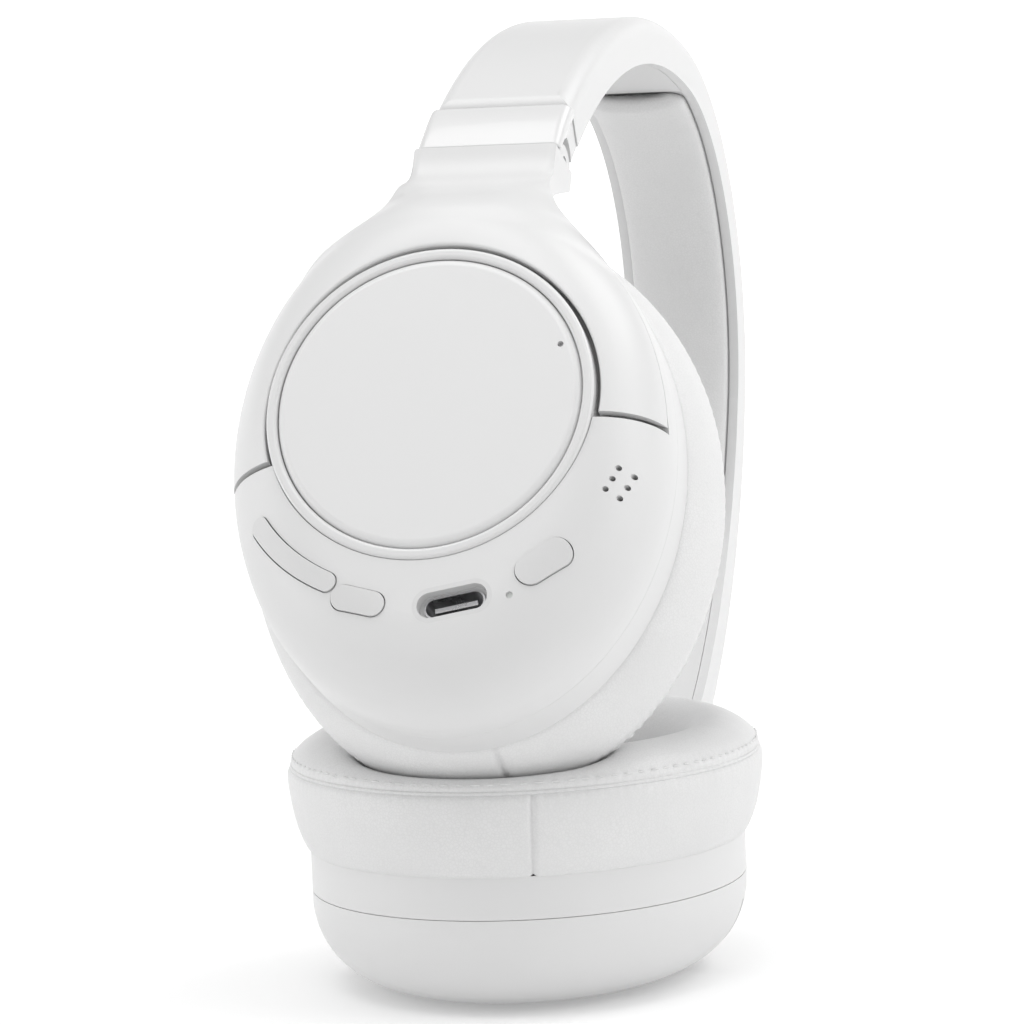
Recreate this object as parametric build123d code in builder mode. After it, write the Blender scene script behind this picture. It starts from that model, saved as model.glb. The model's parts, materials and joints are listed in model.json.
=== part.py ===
"""Folding over ear headphones, in build123d.  Sizes are in millimetres.

The row frame: Z is up, the floor is Z = 0, and the wearer's front is -Y.  The headphones lie
on the left ear cup, whose outer face is on the floor at the origin.  The headband stands on
its side, and the right ear cup hangs from the upper end of the band and leans on the left
ear cushion.

Each ear cup is drawn in a frame of its own: the origin is the middle of the cup's outer face,
x points up the arm to the fold hinge, and z points inward, to the ear.  The left cup's frame is
the row frame.  The headband is drawn in a frame whose origin is the top of the band: x runs
from ear to ear, y points out of the top, and z is across the band.
"""
import os
from math import cos, radians, sin

from build123d import *

os.makedirs("parts", exist_ok=True)

# the resting pose
BAND_LEAN = 62.5            # how far the ear-to-ear line leans up from the floor, degrees
RIGHT_LEAN = 27.7           # how far the right cup leans back from upright, degrees

# the headband: two arcs on each side, then the hinge block's arc
TOP_R = 49.0
TOP_TURN = 46.0             # degrees from the middle to the end of the top arc
LEG_R = 102.0
LEG_END = 93.0              # heading of the band where the arm slides out, degrees
BLOCK_R = 50.0
BAND_END_W = 23.0
BAND_TOP_W = 19.6
BAND_T = 7.6
BAND_WALL = 1.6
PAD_FROM = -38.0            # the head pad's two ends, along the band from its middle
PAD_TO = 68.0
PAD_T = 2.6
PAD_INSET = 1.8             # the pad is this much narrower than the band on each side

# the arm that slides out of the band
STRIP_T = 1.2
STRIP_W = 13.0
STRIP_IN = 36.0             # length held in the band at rest
STRIP_DEPTH = 3.0
PLATE_T = 1.2

# the fold hinge, in the cup's frame
PIN_UP = 46.6
PIN_IN = 19.2
PIN_R = 1.4
PIN_DEPTH = 4.9             # below the band's outer face
PIN_ALONG = 9.7             # from the end of the band, along the hinge block
BARREL_R = 3.3               # the middle barrel, on the arm
OUTER_BARREL_R = 4.6         # the two outer barrels, on the yoke
BARREL_GAP = 5.2            # half width of the middle barrel's slot

# the ear cup: an oval that is turned a little about the arm
CUP_LONG = 41.5
CUP_WIDE = 32.6
CUP_DROP = 4.0              # the oval's centre is this far below the cap's centre
CUP_TURN = 8.0              # degrees
CUP_ROUND = 13.0
CUP_FACE = 0.5              # the cap stands this far out of the cup's face
CUP_SPLIT = 14.6            # where the front part meets the back part
CUP_DEPTH = 20.9
CUP_WALL = 2.0

# the cap on the outer face
CAP_R = 22.4
RING_R = 24.1
CAP_HOLE_R = 24.7
CAP_T = 3.0

# the yoke that carries the cup
YOKE_T = 2.6
YOKE_GAP = 0.6
YOKE_DEPTH = 10.0
YOKE_END = -5.0             # the yoke's two ends, below the cap's centre
NOTCH_GAP = 0.9
TILT_ROOM = 0.6             # more room under the yoke's ends, for the tilt
NECK_W = 21.6
TILT_UP = 1.0
TILT_MOST = 7.0             # degrees
TILT_IN = 6.5
TILT_PIN_R = 1.5
TILT_PIN_IN = 24.6
TILT_PIN_OUT = 28.6
RUN_GAP = 0.05              # running clearance of a pin in its hole

# the ear cushion
CUSHION_OUT = 2.5           # the cushion is this much larger than the cup all round
CUSHION_H = 10.2
CUSHION_BASE = 1.3
EAR_LONG = 27.0
EAR_WIDE = 21.1

# the speaker
DRIVER_R = 20.0

# the controls on the right cup lie on a circle round the cap
KEY_CIRCLE = 31.0
KEY_PROUD = 0.3
KEY_T = 1.9
KEY_GAP = 0.15
MODE_KEY = (-13.5, 8.2, 3.6)        # place on the circle in degrees, length, width
POWER_KEY = (38.0, 8.6, 4.2)
ROCKER = (-53.0, -24.0, 2.8)        # from and to in degrees, width
USB_AT = 12.2
LED_SPOT = (26.5, 32.9)             # degrees, distance from the cap's centre
MIC_SPOT = (67.4, 30.6)


# ---------------------------------------------------------------- frames

def left_place():
    """The left cup's frame."""
    return Location((0, 0, 0))


def band_place():
    """The headband's frame, set so that its left hinge pin meets the left cup's."""
    c, s = cos(radians(BAND_LEAN)), sin(radians(BAND_LEAN))
    px, py = band_point(pin_s(), PIN_DEPTH)
    top_x = PIN_UP - (px * c + py * s)
    top_z = PIN_IN - (-px * s + py * c)
    plane = Plane(origin=(top_x, 0, top_z), x_dir=(c, 0, -s), z_dir=(0, -1, 0))
    return plane.location


def right_place():
    """The right cup's frame, hung from the band's right hinge pin."""
    px, py = band_point(-pin_s(), PIN_DEPTH)
    pin = (band_place() * Location((px, py, 0))).position
    up = Vector(sin(radians(RIGHT_LEAN)), 0, cos(radians(RIGHT_LEAN)))
    inward = Vector(cos(radians(RIGHT_LEAN)), 0, -sin(radians(RIGHT_LEAN)))
    origin = pin - up * PIN_UP - inward * PIN_IN
    return Plane(origin=origin, x_dir=up, z_dir=inward).location


def save(part, name, place):
    """Put a finished part in its place and write it."""
    moved = part.moved(place)
    moved.label = name
    export_step(moved, f"parts/{name}.step")


# ---------------------------------------------------------------- the band's line

def top_len():
    return TOP_R * radians(TOP_TURN)


def leg_end_s():
    """Length along the band from the middle to where the arm slides out."""
    return top_len() + LEG_R * radians(LEG_END - TOP_TURN)


def pin_s():
    return leg_end_s() + PIN_ALONG


def band_point(s, depth):
    """A point s along the band's outer face and depth below it, in the band's frame."""
    side = 1 if s >= 0 else -1
    s = abs(s)
    centre = Vector(0, -TOP_R)
    arcs = [(TOP_R, 0.0, TOP_TURN), (LEG_R, TOP_TURN, LEG_END), (BLOCK_R, LEG_END, 170.0)]
    for radius, start, end in arcs:
        length = radius * radians(end - start)
        if s <= length:
            break
        s -= length
        following = LEG_R if radius == TOP_R else BLOCK_R
        edge = Vector(sin(radians(end)), cos(radians(end)))
        centre = centre + edge * (radius - following)
    heading = radians(start) + s / radius
    point = centre + Vector(sin(heading), cos(heading)) * (radius - depth)
    return side * point.X, point.Y


def band_strip(s_from, s_to, outer, inner):
    """The closed outline of a slice of the band between two depths."""
    breaks = [-leg_end_s(), -top_len(), top_len(), leg_end_s()]
    stops = [s_from] + [s for s in breaks if s_from < s < s_to] + [s_to]
    with BuildSketch() as strip:
        with BuildLine():
            for a, b in zip(stops, stops[1:]):
                ThreePointArc(band_point(a, outer), band_point((a + b) / 2, outer), band_point(b, outer))
            Line(band_point(s_to, outer), band_point(s_to, inner))
            for a, b in zip(stops, stops[1:]):
                ThreePointArc(band_point(a, inner), band_point((a + b) / 2, inner), band_point(b, inner))
            Line(band_point(s_from, inner), band_point(s_from, outer))
        make_face()
    return strip.sketch


def width_form(inset):
    """The band seen from above: narrower at the top of the head than at the ears."""
    end_w = BAND_END_W / 2 - inset
    top_w = BAND_TOP_W / 2 - inset
    with BuildPart() as form:
        with BuildSketch(Plane.XZ.offset(-20)):
            with BuildLine():
                ThreePointArc((-80, -end_w), (0, -top_w), (80, -end_w))
                Line((80, -end_w), (80, end_w))
                ThreePointArc((80, end_w), (0, top_w), (-80, end_w))
                Line((-80, end_w), (-80, -end_w))
            make_face()
        extrude(amount=160)
    return form.part


def band_slice(s_from, s_to, outer, inner, inset):
    """A solid slice of the band, inset from the band's two sides."""
    with BuildPart() as piece:
        with BuildSketch():
            add(band_strip(s_from, s_to, outer, inner))
        extrude(amount=BAND_END_W, both=True)
        add(width_form(inset), mode=Mode.INTERSECT)
    return piece.part


# ---------------------------------------------------------------- the headband

def band_shell():
    """The outer shell of the band, open on the inside."""
    end = leg_end_s()
    with BuildPart() as shell:
        add(band_slice(-end, end, 0, BAND_T, 0))
        outer_edges = shell.edges().filter_by(lambda e: e.length > 20)
        far_edges = [e for e in outer_edges if on_depth(e, 0)]
        fillet(far_edges, radius=2.6)
        add(band_slice(-end - 1, end + 1, BAND_WALL, BAND_T + 1, BAND_WALL), mode=Mode.SUBTRACT)
    return shell.part


def on_depth(edge, depth):
    """True when the middle of an edge is at this depth below the band's outer face."""
    point = edge.position_at(0.5)
    best = min(
        (Vector(*band_point(s, depth)) - Vector(point.X, point.Y)).length
        for s in range(-130, 131)
    )
    return best < 0.75


def leg_cover(side):
    """The inner cover of one leg, from the head pad to the end of the band."""
    lo, hi = (PAD_TO + 0.6, leg_end_s()) if side > 0 else (-leg_end_s(), PAD_FROM - 0.6)
    with BuildPart() as cover:
        add(band_slice(lo, hi, BAND_T - 1.4, BAND_T, BAND_WALL + 0.1))
    return cover.part


def pad_base():
    """The stiff strip that the head pad is fixed to."""
    return band_slice(PAD_FROM, PAD_TO, BAND_T - 1.6, BAND_T - 0.2, BAND_WALL + 0.1)


def band_pad():
    """The head pad, a plain soft block here."""
    with BuildPart() as pad:
        add(band_slice(PAD_FROM, PAD_TO, BAND_T + 0.05, BAND_T + PAD_T, PAD_INSET))
        low = [e for e in pad.edges() if on_depth(e, BAND_T + PAD_T)]
        fillet(low, radius=1.2)
    return pad.part


def band_spring():
    """The spring steel strip that gives the band its grip."""
    return band_slice(-72, 72, 2.6, 3.4, 4.5)


def slide_frame(side):
    """The frame of one arm's slide: z runs out of the band, y is outward."""
    s_end = side * leg_end_s()
    s_in = side * (leg_end_s() - STRIP_IN)
    out = Vector(*band_point(s_end, STRIP_DEPTH))
    tail = Vector(*band_point(s_in, STRIP_DEPTH))
    along = (out - tail).normalized()
    return Plane(origin=out, x_dir=(0, 0, 1), z_dir=along)


def slider_strip(side):
    """The flat steel strip that slides in the leg."""
    with BuildPart() as strip:
        with BuildSketch(slide_frame(side).offset(-STRIP_IN)):
            RectangleRounded(STRIP_W, STRIP_T, 0.3)
        extrude(amount=STRIP_IN + 4.5)
    return strip.part


def slide_guide(side):
    """The plastic guide block that the strip runs through."""
    frame = slide_frame(side)
    with BuildPart() as guide:
        with BuildSketch(frame.offset(-10.5)):
            Rectangle(STRIP_W + 4.0, 2.9)
            Rectangle(STRIP_W + 0.3, STRIP_T + 0.3, mode=Mode.SUBTRACT)
        extrude(amount=9.0)
    return guide.part


def hinge_block(side):
    """The block on the end of the strip, with the middle barrel of the fold hinge."""
    a, b = side * (leg_end_s() + 0.3), side * pin_s()
    px, py = band_point(side * pin_s(), PIN_DEPTH)
    with BuildPart() as block:
        add(band_slice(min(a, b), max(a, b), PLATE_T + 0.05, BAND_T, 0.2))
        with BuildSketch():
            with Locations((px, py)):
                Circle(OUTER_BARREL_R + 0.3)
        extrude(amount=BAND_END_W, both=True, mode=Mode.SUBTRACT)
        with BuildSketch():
            with Locations((px, py)):
                Circle(BARREL_R)
        extrude(amount=BARREL_GAP - 0.1, both=True)
        bridge = side * (pin_s() - 6.0)
        with BuildSketch():
            add(band_strip(min(bridge, b), max(bridge, b), PIN_DEPTH - 2.0, PIN_DEPTH + 2.4))
        extrude(amount=BARREL_GAP - 0.1, both=True)
        with BuildSketch():
            with Locations((px, py)):
                Circle(PIN_R)
        extrude(amount=BAND_END_W, both=True, mode=Mode.SUBTRACT)
        add(slider_strip(side), mode=Mode.SUBTRACT)
    return block.part


def hinge_plate(side):
    """The glossy plate over the hinge block."""
    a, b = side * (leg_end_s() + 0.3), side * (pin_s() - 0.4)
    px, py = band_point(side * pin_s(), PIN_DEPTH)
    with BuildPart() as plate:
        add(band_slice(min(a, b), max(a, b), 0, PLATE_T, 0.1))
        rim = [e for e in plate.edges() if on_depth(e, 0) and e.length < 12]
        fillet(rim, radius=0.5)
        with BuildSketch():
            with Locations((px, py)):
                Circle(OUTER_BARREL_R + 0.3)
        extrude(amount=BAND_END_W, both=True, mode=Mode.SUBTRACT)
    return plate.part


def hinge_pin(side):
    px, py = band_point(side * pin_s(), PIN_DEPTH)
    with BuildPart() as pin:
        with BuildSketch():
            with Locations((px, py)):
                Circle(PIN_R)
        extrude(amount=NECK_W / 2 - 1.0, both=True)
    return pin.part


# ---------------------------------------------------------------- the ear cup's form

def oval_spot(side):
    """Where the oval's centre is, and how far it is turned."""
    turn = side * CUP_TURN
    return Location((-CUP_DROP * cos(radians(turn)), -CUP_DROP * sin(radians(turn)), 0), (0, 0, turn))


def oval(side, grow):
    """The cup's outline, grown by so much all round."""
    with BuildSketch() as sketch:
        with Locations(oval_spot(side)):
            Ellipse(CUP_LONG + grow, CUP_WIDE + grow)
    return sketch.sketch


def oval_slab(side, grow, z_from, z_to):
    with BuildPart() as slab:
        with BuildSketch(Plane.XY.offset(z_from)):
            add(oval(side, grow))
        extrude(amount=z_to - z_from)
    return slab.part


def cup_form(side, grow, z_to):
    """The cup's rounded outer form, grown or shrunk, up to a depth."""
    with BuildPart() as form:
        add(oval_slab(side, grow, CUP_FACE - grow, CUP_DEPTH + 4))
        rim = form.edges().sort_by(Axis.Z)[0]
        fillet(rim, radius=CUP_ROUND + grow)
        split(bisect_by=Plane.XY.offset(z_to), keep=Keep.BOTTOM)
    return form.part


def disc(radius, z_from, z_to, at=(0, 0)):
    """A plain round slab."""
    with BuildPart() as slab:
        with BuildSketch(Plane.XY.offset(z_from)):
            with Locations(at):
                Circle(radius)
        extrude(amount=z_to - z_from)
    return slab.part


def above(side, x_from, z_to):
    """The space above a line across the cup, turned with the oval, down to a depth."""
    with BuildPart() as space:
        with Locations(Location((0, 0, 0), (0, 0, side * CUP_TURN))):
            with Locations((x_from + 50, 0, z_to - 25)):
                Box(100, 120, 50)
    return space.part


def bar(radius, y_from, y_to, x, z):
    """A round bar across the cup."""
    with BuildPart() as piece:
        with BuildSketch(Plane.XZ.offset(-y_to)):
            with Locations((x, z)):
                Circle(radius)
        extrude(amount=y_to - y_from)
    return piece.part


# ---------------------------------------------------------------- the cup's pieces

def cup_front(side):
    """The outer part of the cup: a pocket for the yoke, wedged for the tilt, and the cap's seat."""
    with BuildPart() as front:
        add(cup_form(side, 0, CUP_SPLIT))
        with BuildPart(mode=Mode.SUBTRACT):
            add(above(side, YOKE_END - NOTCH_GAP, YOKE_DEPTH + 0.4))
            add(cup_form(side, -(YOKE_T + YOKE_GAP), CUP_DEPTH), mode=Mode.SUBTRACT)
        with BuildPart(mode=Mode.SUBTRACT):
            add(above(side, YOKE_END - NOTCH_GAP, CUP_SPLIT - 1))
            with Locations(Location((TILT_UP, 0, YOKE_DEPTH + 0.4), (0, TILT_MOST + 1, 0))):
                Box(60, 120, 50, align=(Align.MAX, Align.CENTER, Align.MAX), mode=Mode.INTERSECT)
            add(cup_form(side, -(YOKE_T + YOKE_GAP + TILT_ROOM), CUP_DEPTH), mode=Mode.SUBTRACT)
        add(cup_form(side, -(YOKE_T + YOKE_GAP + CUP_WALL), CUP_DEPTH), mode=Mode.SUBTRACT)
        add(disc(RING_R + 0.1, -1, CUP_FACE + YOKE_T + YOKE_GAP), mode=Mode.SUBTRACT)
        add(bar(TILT_PIN_R + RUN_GAP, -60, 60, TILT_UP, TILT_IN), mode=Mode.SUBTRACT)
    return front.part


def cup_back(side):
    """The inner part of the cup: a rim and a floor that holds the speaker."""
    with BuildPart() as back:
        add(oval_slab(side, 0, CUP_SPLIT + 0.05, CUP_DEPTH))
        fillet(back.edges().group_by(Axis.Z)[0], radius=0.15)
        add(oval_slab(side, -CUP_WALL, CUP_SPLIT, CUP_DEPTH - 1.8), mode=Mode.SUBTRACT)
        add(disc(DRIVER_R + 0.1, CUP_SPLIT, CUP_DEPTH + 1, (-CUP_DROP, 0)), mode=Mode.SUBTRACT)
        with BuildSketch(Plane.XY.offset(CUP_DEPTH)):
            add(screw_spots(side, 1.1))
        extrude(amount=-5, mode=Mode.SUBTRACT)
    return back.part


def screw_spots(side, radius):
    """Four small circles round the speaker."""
    with BuildSketch() as spots:
        with Locations(oval_spot(side)):
            with PolarLocations(28.0, 4, start_angle=45):
                Circle(radius)
    return spots.sketch


def cup_screws(side):
    """The four screws that hold the back part to the front part."""
    with BuildPart() as screws:
        with BuildSketch(Plane.XY.offset(CUP_DEPTH - 3.8)):
            add(screw_spots(side, 1.0))
        extrude(amount=3.8)
    return screws.part


def cap():
    """The flat cap in the middle of the outer face, with one small hole."""
    with BuildPart() as piece:
        add(disc(CAP_R, 0, CAP_T))
        fillet(piece.edges().group_by(Axis.Z)[0], radius=1.2)
        add(disc(0.45, -1, 1.0, (8.3, 18.7)), mode=Mode.SUBTRACT)
    return piece.part


def cap_ring():
    """The thin ring round the cap."""
    with BuildPart() as ring:
        with BuildSketch(Plane.XY.offset(0.15)):
            Circle(RING_R)
            Circle(CAP_R + 0.05, mode=Mode.SUBTRACT)
        extrude(amount=CAP_T - 0.15)
        fillet(ring.edges().group_by(Axis.Z)[0], radius=0.55)
    return ring.part


def neck():
    """The arm from the yoke's ring to the fold hinge, as a side profile."""
    top = PIN_IN - OUTER_BARREL_R
    with BuildPart() as arm:
        with BuildSketch(Plane.XZ):
            with BuildLine():
                Polyline((PIN_UP, top), (41.8, 12.9), (37.4, 7.4), (34.6, 4.3))
                Polyline((34.6, 4.3), (33.0, 6.6), (35.4, 9.4), (38.0, 10.3), (38.4, 18.0))
                Polyline((38.4, 18.0), (41.2, 21.6), (PIN_UP - 2, PIN_IN + 4), (PIN_UP, PIN_IN), (PIN_UP, top))
            make_face()
        extrude(amount=NECK_W / 2, both=True)
    return arm.part


def yoke(side):
    """The yoke: an open ring round the cap, a neck, and the two outer hinge barrels."""
    with BuildPart() as piece:
        add(cup_form(side, 0, YOKE_DEPTH))
        add(cup_form(side, -YOKE_T, CUP_DEPTH), mode=Mode.SUBTRACT)
        add(above(side, YOKE_END, CUP_DEPTH + 10), mode=Mode.INTERSECT)
        add(disc(CAP_HOLE_R, -2, CUP_DEPTH), mode=Mode.SUBTRACT)
        add(neck())
        add(bar(OUTER_BARREL_R, -NECK_W / 2, NECK_W / 2, PIN_UP, PIN_IN))
        add(bar(BARREL_R + 0.4, -BARREL_GAP, BARREL_GAP, PIN_UP, PIN_IN), mode=Mode.SUBTRACT)
        for low_x, low_z in ((PIN_UP + 0.4, 0), (PIN_UP - 3.4, PIN_IN - 1.0)):
            with Locations((low_x + 10, 0, low_z + 20)):
                Box(20, 2 * BARREL_GAP, 40, mode=Mode.SUBTRACT)
        add(bar(PIN_R + RUN_GAP, -60, 60, PIN_UP, PIN_IN), mode=Mode.SUBTRACT)
        add(bar(TILT_PIN_R, -TILT_PIN_OUT, TILT_PIN_OUT, TILT_UP, TILT_IN), mode=Mode.SUBTRACT)
    return piece.part


def yoke_pins(side):
    """The two pins that the cup tilts on."""
    with BuildPart() as pins:
        add(bar(TILT_PIN_R, TILT_PIN_IN, TILT_PIN_OUT, TILT_UP, TILT_IN))
        add(bar(TILT_PIN_R, -TILT_PIN_OUT, -TILT_PIN_IN, TILT_UP, TILT_IN))
    return pins.part


# ---------------------------------------------------------------- the speaker and the cushion

def driver_frame():
    with BuildPart() as frame:
        add(disc(DRIVER_R, 16.9, CUP_DEPTH - 0.3, (-CUP_DROP, 0)))
        add(disc(DRIVER_R - 1.8, 17.9, CUP_DEPTH, (-CUP_DROP, 0)), mode=Mode.SUBTRACT)
        add(disc(7.0, 16, 19, (-CUP_DROP, 0)), mode=Mode.SUBTRACT)
    return frame.part


def driver_magnet():
    with BuildPart() as magnet:
        add(disc(9.0, 12.9, 16.9, (-CUP_DROP, 0)))
        fillet(magnet.edges().group_by(Axis.Z)[0], radius=0.6)
    return magnet.part


def driver_cone():
    """The thin domed diaphragm."""
    low = [(0, 19.6), (3, 19.4), (6, 18.8), (8.5, 18.1), (10.5, 18.8), (13, 19.2), (16, 18.8), (17.9, 18.2)]
    high = [(x, z + 0.3) for x, z in reversed(low)]
    with BuildPart() as cone:
        with BuildSketch(Plane.XZ):
            with BuildLine():
                Polyline(*low, *high, low[0])
            make_face()
        revolve(axis=Axis.Z)
    return cone.part.moved(Location((-CUP_DROP, 0, 0)))


def speaker_grille():
    """The perforated plate over the speaker."""
    with BuildPart() as plate:
        add(disc(DRIVER_R + 0.9, CUP_DEPTH, CUP_DEPTH + 0.8, (-CUP_DROP, 0)))
        with BuildSketch(Plane.XY.offset(CUP_DEPTH)):
            with Locations((-CUP_DROP, 0)):
                for ring in range(1, 5):
                    with PolarLocations(ring * 4.2, ring * 6):
                        Circle(0.9)
                Circle(0.9)
        extrude(amount=1, mode=Mode.SUBTRACT)
    return plate.part


def ear_opening(side, grow):
    with BuildSketch() as sketch:
        with Locations(oval_spot(side)):
            Ellipse(EAR_LONG + grow, EAR_WIDE + grow)
    return sketch.sketch


def cushion_ring(side):
    """The stiff ring that clips the cushion to the cup."""
    with BuildPart() as ring:
        with BuildSketch(Plane.XY.offset(CUP_DEPTH)):
            add(oval(side, -0.6))
            add(ear_opening(side, 0.6), mode=Mode.SUBTRACT)
        extrude(amount=CUSHION_BASE - 0.1)
    return ring.part


def cushion(side):
    """The ear cushion, a plain soft ring here."""
    top = CUP_DEPTH + CUSHION_H
    with BuildPart() as soft:
        with BuildSketch(Plane.XY.offset(CUP_DEPTH + CUSHION_BASE)):
            add(oval(side, CUSHION_OUT))
            add(ear_opening(side, 0), mode=Mode.SUBTRACT)
        extrude(amount=CUSHION_H - CUSHION_BASE)
        fillet(soft.edges().group_by(Axis.Z)[-1], radius=4.6)
    return soft.part


# ---------------------------------------------------------------- inside the cups and the controls

def battery():
    """The flat cell, below the speaker's magnet."""
    with BuildPart() as cell:
        with BuildSketch(Plane.XY.offset(7.0)):
            with Locations((-22, 0)):
                RectangleRounded(12, 26, 1.0)
        extrude(amount=5.0)
    return cell.part


def circuit_board():
    """The main board, below the speaker's magnet."""
    with BuildPart() as board:
        with BuildSketch(Plane.XY.offset(9.0)):
            with Locations((-20, 0)):
                RectangleRounded(17, 34, 2.0)
        extrude(amount=1.2)
        for x, y, w, h in ((-17, -10, 6, 6), (-17, 8, 8, 5), (-24, -14, 3, 6)):
            with BuildSketch(Plane.XY.offset(10.2)):
                with Locations((x, y)):
                    Rectangle(w, h)
            extrude(amount=1.0)
    return board.part


def key_spot(degrees, radius=KEY_CIRCLE):
    """A place on the circle of controls, turned to lie along it; 0 is straight down."""
    a = radians(degrees)
    return Location((-radius * cos(a), radius * sin(a), 0), (0, 0, 90 - degrees))


def key_outline(degrees, length, width, grow):
    """A round-ended key lying on the circle of controls."""
    with BuildSketch() as sketch:
        with Locations(key_spot(degrees)):
            SlotOverall(length + 2 * grow, width + 2 * grow)
    return sketch.sketch


def arc_outline(a_from, a_to, width, grow):
    """A curved strip on the circle of controls."""
    middle = key_spot((a_from + a_to) / 2, KEY_CIRCLE - 1.2).position
    start = key_spot(a_from, KEY_CIRCLE - 1.2).position
    end = key_spot(a_to, KEY_CIRCLE - 1.2).position
    with BuildSketch() as sketch:
        SlotArc(ThreePointArc(start, middle, end, mode=Mode.PRIVATE), width + 2 * grow)
    return sketch.sketch


def key_cap(outline):
    """A thin key that follows the cup's outer form and stands a little proud."""
    with BuildPart() as key:
        with BuildSketch(Plane.XY.offset(-2)):
            add(outline)
        extrude(amount=16)
        with BuildPart(mode=Mode.INTERSECT):
            add(cup_form(-1, KEY_PROUD, CUP_SPLIT))
            add(cup_form(-1, KEY_PROUD - KEY_T, CUP_DEPTH), mode=Mode.SUBTRACT)
    return key.part


def right_front():
    """The right cup's front part, with the slots for its controls."""
    with BuildPart() as front:
        add(cup_front(-1))
        with BuildSketch(Plane.XY.offset(-2)):
            add(key_outline(*MODE_KEY, KEY_GAP))
            add(key_outline(*POWER_KEY, KEY_GAP))
            add(arc_outline(*ROCKER, KEY_GAP))
            add(key_outline(USB_AT, 11.6, 5.2, 0))
            with Locations(key_spot(*LED_SPOT)):
                Circle(0.5)
            for row in (-2.0, 0, 2.0):
                for col in (-1.0, 1.0):
                    with Locations(key_spot(MIC_SPOT[0] + row * 1.8, MIC_SPOT[1] + col)):
                        Circle(0.42)
        extrude(amount=12, mode=Mode.SUBTRACT)
    return front.part


def usb_surround():
    """The oval recess round the charging socket."""
    with BuildPart() as piece:
        with BuildSketch(Plane.XY.offset(-2)):
            add(key_outline(USB_AT, 11.6, 5.2, 0))
        extrude(amount=8.5)
        with BuildPart(mode=Mode.INTERSECT):
            add(cup_form(-1, 0, CUP_SPLIT))
        with BuildSketch(Plane.XY.offset(-2)):
            add(key_outline(USB_AT, 11.6, 5.2, -0.7))
        extrude(amount=4.2, mode=Mode.SUBTRACT)
        with BuildSketch(Plane.XY.offset(-2)):
            add(key_outline(USB_AT, 8.94, 3.26, 0.05))
        extrude(amount=12, mode=Mode.SUBTRACT)
    return piece.part


def usb_socket():
    """The metal shell of the charging socket."""
    with BuildPart() as socket:
        with BuildSketch(Plane.XY.offset(2.0)):
            add(key_outline(USB_AT, 8.94, 3.26, 0))
        extrude(amount=6.8)
        with BuildSketch(Plane.XY.offset(2.0)):
            add(key_outline(USB_AT, 8.34, 2.66, 0))
        extrude(amount=5.8, mode=Mode.SUBTRACT)
        with BuildSketch(Plane.XY.offset(3.0)):
            with Locations(key_spot(USB_AT)):
                Rectangle(6.2, 0.7)
        extrude(amount=5.0)
    return socket.part


def led_pipe():
    return disc(0.48, CUP_FACE + 0.6, 6.0, tuple(key_spot(*LED_SPOT).position)[:2])


# ---------------------------------------------------------------- build and write

def build_cup(name, side, place):
    """Write the pieces that both cups have."""
    save(cup_back(side), f"{name}_cup_back", place)
    save(cup_screws(side), f"{name}_cup_screws", place)
    save(cap(), f"{name}_cap", place)
    save(cap_ring(), f"{name}_cap_ring", place)
    save(yoke(side), f"{name}_yoke", place)
    save(yoke_pins(side), f"{name}_yoke_pins", place)
    save(driver_frame(), f"{name}_driver_frame", place)
    save(driver_magnet(), f"{name}_driver_magnet", place)
    save(driver_cone(), f"{name}_driver_cone", place)
    save(speaker_grille(), f"{name}_speaker_grille", place)
    save(cushion_ring(side), f"{name}_cushion_ring", place)
    save(cushion(side), f"{name}_cushion", place)


def build_arm(name, side, place):
    """Write the pieces of one sliding arm and of the leg that it slides in."""
    save(slider_strip(side), f"{name}_slider_strip", place)
    save(hinge_block(side), f"{name}_hinge_block", place)
    save(hinge_plate(side), f"{name}_hinge_plate", place)
    save(hinge_pin(side), f"{name}_hinge_pin", place)
    save(slide_guide(side), f"{name}_slide_guide", place)
    save(leg_cover(side), f"{name}_leg_cover", place)


band = band_place()
save(band_shell(), "band_shell", band)
save(band_spring(), "band_spring", band)
save(pad_base(), "pad_base", band)
save(band_pad(), "band_pad", band)
build_arm("left", 1, band)
build_arm("right", -1, band)

left = left_place()
right = right_place()
build_cup("left", 1, left)
build_cup("right", -1, right)
save(cup_front(1), "left_cup_front", left)
save(battery(), "left_battery", left)
save(right_front(), "right_cup_front", right)
save(circuit_board(), "right_circuit_board", right)
save(key_cap(arc_outline(*ROCKER, 0)), "volume_rocker", right)
save(key_cap(key_outline(*MODE_KEY, 0)), "mode_button", right)
save(key_cap(key_outline(*POWER_KEY, 0)), "power_button", right)
save(usb_surround(), "usb_surround", right)
save(usb_socket(), "usb_socket", right)
save(led_pipe(), "led_pipe", right)
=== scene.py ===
"""The looks of the folding over ear headphones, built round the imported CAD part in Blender.

The CAD part gives every hard piece.  This script gives them their finishes and adds the soft
goods: the two ear cushions, their stitching and speaker cloths, and the head pad.  It also
adds a smooth skin for each yoke and each hinge plate, the floor, the lights and the camera.

Sizes are in millimetres until they go into a mesh, and MM turns them into metres.  A cup is
drawn in its own frame: x points up the arm, z points inward to the ear, and the origin is the
middle of the outer face.  The left cup's frame is the row frame.
"""

import json
from math import cos, pi, radians, sin

import bmesh
import bpy
import numpy as np
from mathutils import Matrix, Vector


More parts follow.
